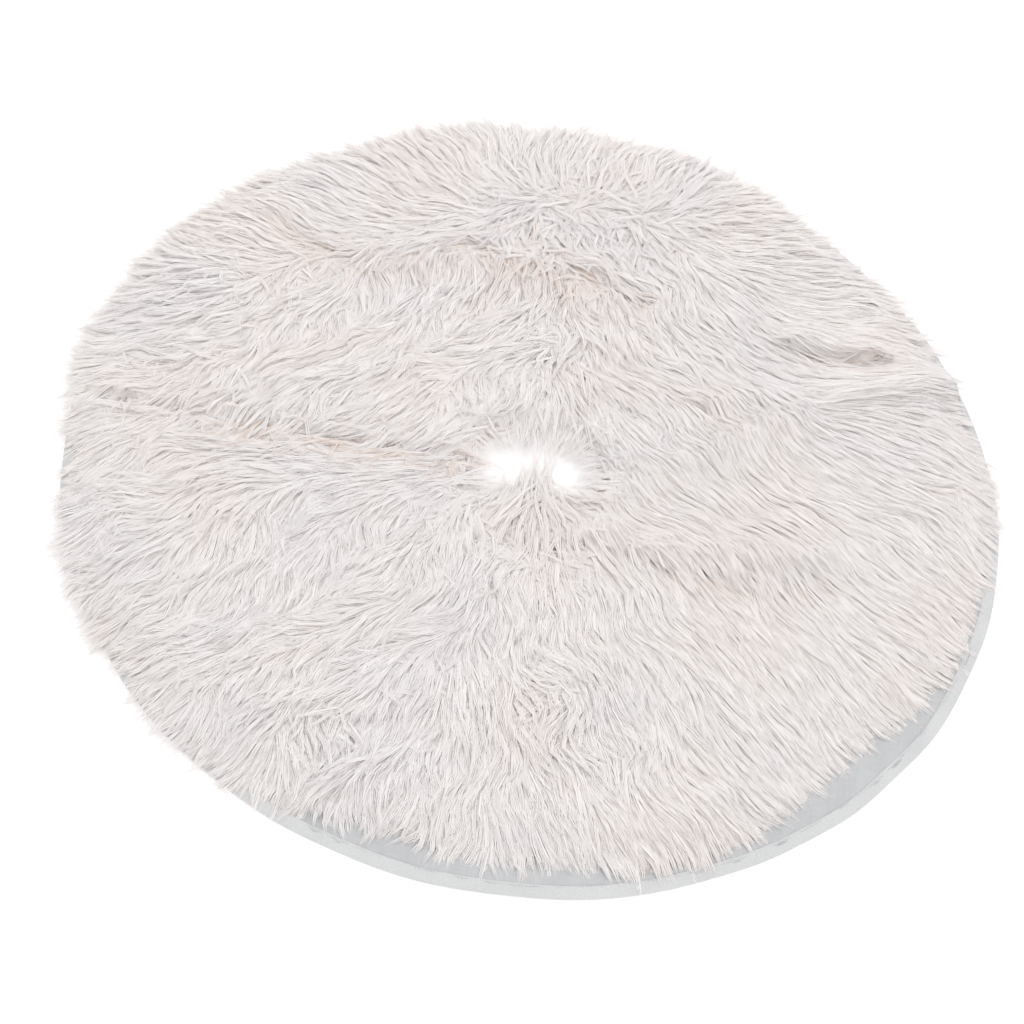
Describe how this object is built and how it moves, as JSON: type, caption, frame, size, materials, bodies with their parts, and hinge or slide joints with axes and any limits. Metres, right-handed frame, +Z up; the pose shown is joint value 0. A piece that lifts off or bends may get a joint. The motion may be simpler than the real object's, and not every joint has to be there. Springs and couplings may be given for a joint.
{
  "type": "tree skirt",
  "caption": "Round lined tree skirt of long white fur pile with a trunk hole, a slit whose two flaps lift, and swinging touch-fastener tabs.",
  "frame": {"origin": "on the floor under the centre of the trunk hole", "axes": "+Z up; the slit runs from the hole along -X; the near flap is on the -Y side of it and the far flap on the +Y side"},
  "size_m": [0.892, 0.886, 0.041],
  "materials": {
    "pile": "long soft clumped fur pile",
    "lining": "smooth fine-woven satin, low sheen",
    "binding": "folded satin tape with two stitch rows",
    "tab_tape": "twill tape",
    "hooks": "nylon hook tape",
    "loops": "brushed loop tape"
  },
  "bodies": {
    "skirt": {"fur_main": "pile", "lining_main": "lining", "hem_main": "binding", "hole_binding_main": "binding"},
    "flap_near": {"fur_near": "pile", "lining_near": "lining", "hem_near": "binding", "hole_binding_near": "binding", "slit_binding_near": "binding"},
    "flap_far": {"fur_far": "pile", "lining_far": "lining", "hem_far": "binding", "hole_binding_far": "binding", "slit_binding_far": "binding", "loop_patch_inner": "loops", "loop_patch_middle": "loops", "loop_patch_outer": "loops"},
    "tab_inner": {"tab_inner": "tab_tape", "hook_patch_inner": "hooks"},
    "tab_middle": {"tab_middle": "tab_tape", "hook_patch_middle": "hooks"},
    "tab_outer": {"tab_outer": "tab_tape", "hook_patch_outer": "hooks"}
  },
  "joints": [
    {"name": "near_flap_lift", "type": "hinge", "parent": "skirt", "child": "flap_near", "pos_m": [-0.2, -0.2, 0.008], "axis": [0.7071, 0.7071, 0], "range_deg": [0, 90]},
    {"name": "far_flap_lift", "type": "hinge", "parent": "skirt", "child": "flap_far", "pos_m": [-0.2, 0.2, 0.008], "axis": [-0.7071, 0.7071, 0], "range_deg": [0, 90]},
    {"name": "inner_tab_swing", "type": "hinge", "parent": "flap_near", "child": "tab_inner", "pos_m": [-0.13, 0, 0.00125], "axis": [1, 0, 0], "range_deg": [0, 180]},
    {"name": "middle_tab_swing", "type": "hinge", "parent": "flap_near", "child": "tab_middle", "pos_m": [-0.25, 0, 0.00125], "axis": [1, 0, 0], "range_deg": [0, 180]},
    {"name": "outer_tab_swing", "type": "hinge", "parent": "flap_near", "child": "tab_outer", "pos_m": [-0.37, 0, 0.00125], "axis": [1, 0, 0], "range_deg": [0, 180]}
  ]
}
